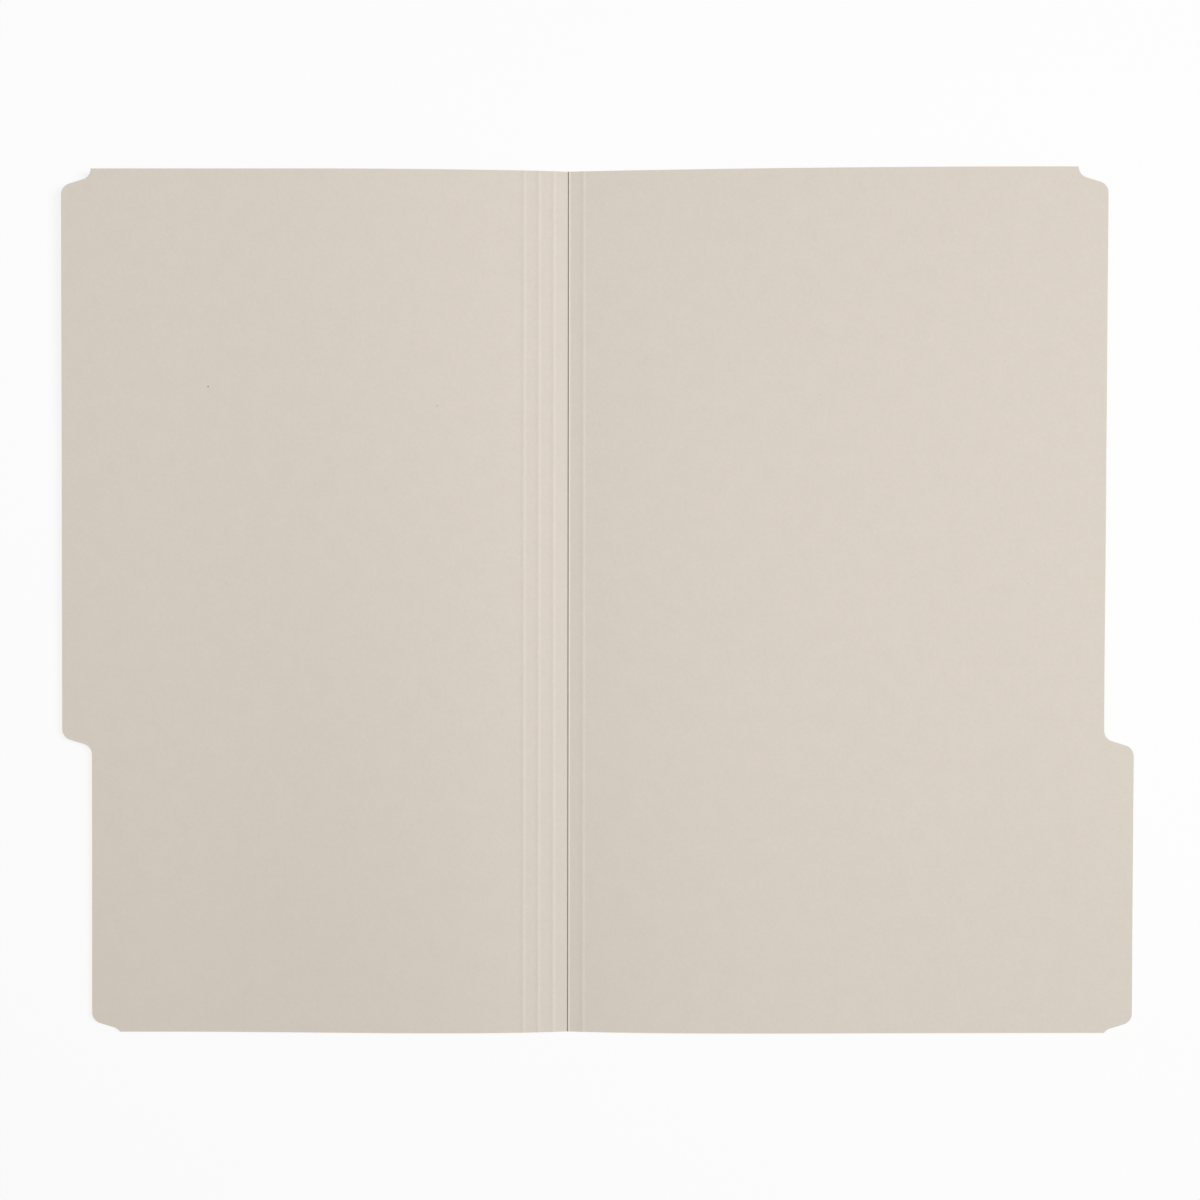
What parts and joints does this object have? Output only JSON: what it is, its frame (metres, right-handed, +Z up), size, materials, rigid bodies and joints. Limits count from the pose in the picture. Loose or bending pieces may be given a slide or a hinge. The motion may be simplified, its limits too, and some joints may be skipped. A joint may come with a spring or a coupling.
{
  "type": "manila folder",
  "caption": "Legal-size manila file folder of plain card, one-third-cut tab at one end, lying open; it closes on its main fold and widens on scored gusset creases.",
  "frame": {"origin": "middle of the main fold's length, on the table that the open folder lies on", "axes": "+X across the fold towards the back cover and its tab, +Y along the fold away from the tab, +Z up out of the inside face"},
  "size_m": [0.4572, 0.3682, 0.0015],
  "materials": {
    "manila_card": "matte"
  },
  "bodies": {
    "back_cover": {"back_cover": "manila_card"},
    "back_gusset": {"back_gusset": "manila_card"},
    "front_gusset_1": {"front_gusset_1": "manila_card"},
    "front_gusset_2": {"front_gusset_2": "manila_card"},
    "front_gusset_3": {"front_gusset_3": "manila_card"},
    "front_cover": {"front_cover": "manila_card"}
  },
  "joints": [
    {"name": "back_score", "type": "hinge", "parent": "back_cover", "child": "back_gusset", "pos_m": [0.00635, 0, 0.00053], "axis": [0, -1, 0], "range_deg": [-45, 0]},
    {"name": "main_fold", "type": "hinge", "parent": "back_gusset", "child": "front_gusset_1", "pos_m": [0, 0, 0.00046], "axis": [0, 1, 0], "range_deg": [0, 173]},
    {"name": "front_score_1", "type": "hinge", "parent": "front_gusset_1", "child": "front_gusset_2", "pos_m": [-0.00635, 0, 0.00064], "axis": [0, -1, 0], "range_deg": [-45, 0]},
    {"name": "front_score_2", "type": "hinge", "parent": "front_gusset_2", "child": "front_gusset_3", "pos_m": [-0.01269, 0, 0.00103], "axis": [0, -1, 0], "range_deg": [-45, 0]},
    {"name": "front_score_3", "type": "hinge", "parent": "front_gusset_3", "child": "front_cover", "pos_m": [-0.01903, 0, 0.00136], "axis": [0, -1, 0], "range_deg": [-45, 0]}
  ]
}
